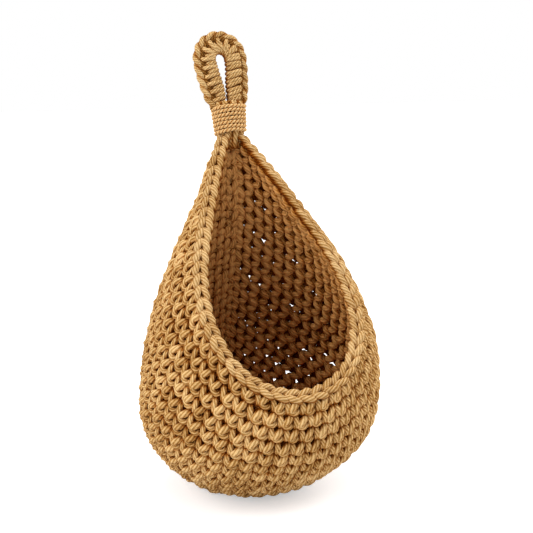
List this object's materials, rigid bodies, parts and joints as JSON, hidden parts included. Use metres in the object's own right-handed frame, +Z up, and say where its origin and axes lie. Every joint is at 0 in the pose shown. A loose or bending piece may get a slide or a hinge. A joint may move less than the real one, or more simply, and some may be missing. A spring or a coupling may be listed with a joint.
{
  "type": "hanging fruit basket",
  "caption": "Crocheted cord basket shaped as a leaning teardrop pocket with a slanted edged mouth, a bound neck and a hanging loop that bends where it leaves the binding.",
  "frame": {"origin": "centre of the flat base, on the surface that the basket stands on", "axes": "+Z up, the mouth faces -Y, the back that leans on a wall faces +Y, X across the basket"},
  "size_m": [0.2084, 0.212, 0.3946],
  "materials": {
    "pocket_cord": "matt twisted cord",
    "edging_cord": "matt twisted cord",
    "binding_cord": "matt twisted cord, wound tight",
    "loop_cord": "matt twisted cord"
  },
  "bodies": {
    "basket": {"base_round": "pocket_cord", "bowl_wall": "pocket_cord", "hood_wall": "pocket_cord", "mouth_edging": "edging_cord", "neck_gather": "pocket_cord", "neck_binding": "binding_cord"},
    "loop": {"loop_strap": "loop_cord", "loop_edge_chain": "loop_cord"}
  },
  "joints": [
    {"name": "loop_bend", "type": "hinge", "parent": "basket", "child": "loop", "pos_m": [0, 0.05274, 0.33704], "axis": [1, 0, 0], "range_deg": [-60, 60], "stiffness_Nm_per_rad": 0.05}
  ]
}
